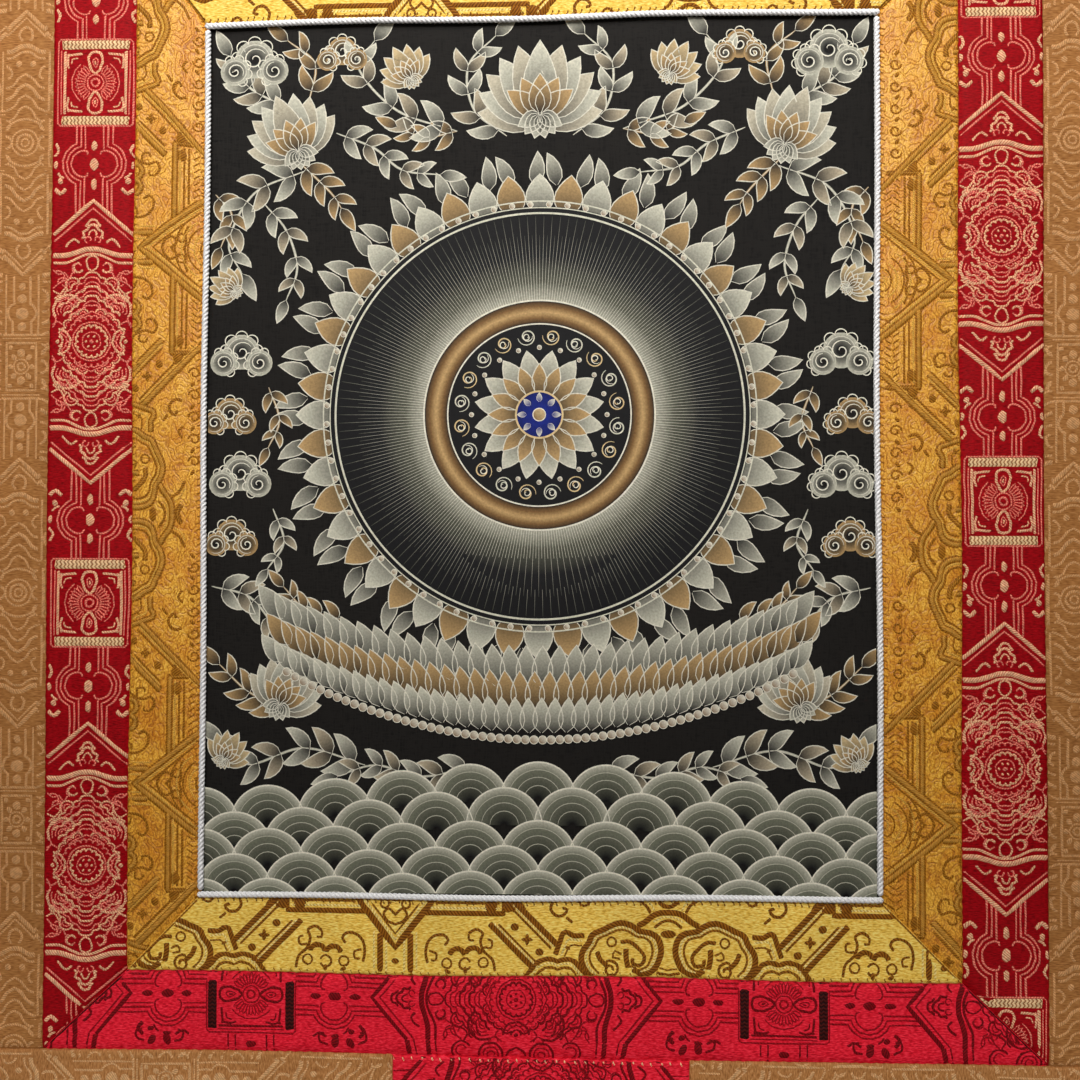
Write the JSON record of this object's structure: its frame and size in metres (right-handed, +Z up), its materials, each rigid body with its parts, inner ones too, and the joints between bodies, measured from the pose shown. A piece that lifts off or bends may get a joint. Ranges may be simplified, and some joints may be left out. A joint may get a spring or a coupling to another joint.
{
  "type": "thangka",
  "caption": "Hanging scroll painting on cloth: a black and gold ornament panel edged with cord, in gold, red and brown brocade borders with a door patch below.",
  "frame": {"origin": "middle of the hanging's straight top edge", "axes": "+Z up, with the cloth hanging towards -Z; +X to the right of someone who looks at the painted face, which faces -Y"},
  "size_m": [0.476, 0.0059, 0.747],
  "materials": {
    "painted_canvas": "fine plain-woven cloth painted black, with gold and silver-cream ornament",
    "edging_cord": "bluish-white twisted cord",
    "gold_brocade": "glossy gold brocade with a brown fret and cloud figure",
    "red_brocade": "satin red brocade with a gold geometric figure",
    "brown_brocade": "tan brocade with a faint figure of its own colour"
  },
  "bodies": {
    "root": {"painted_canvas": "painted_canvas", "edging_cord_left": "edging_cord", "edging_cord_right": "edging_cord", "edging_cord_top": "edging_cord", "edging_cord_bottom": "edging_cord", "gold_border_left": "gold_brocade", "gold_border_right": "gold_brocade", "gold_border_top": "gold_brocade", "gold_border_bottom": "gold_brocade", "red_border_left": "red_brocade", "red_border_right": "red_brocade", "red_border_top": "red_brocade", "red_border_bottom": "red_brocade", "side_panel_left": "brown_brocade", "side_panel_right": "brown_brocade", "top_panel": "brown_brocade", "lower_panel": "brown_brocade", "door_patch": "red_brocade"}
  },
  "joints": []
}
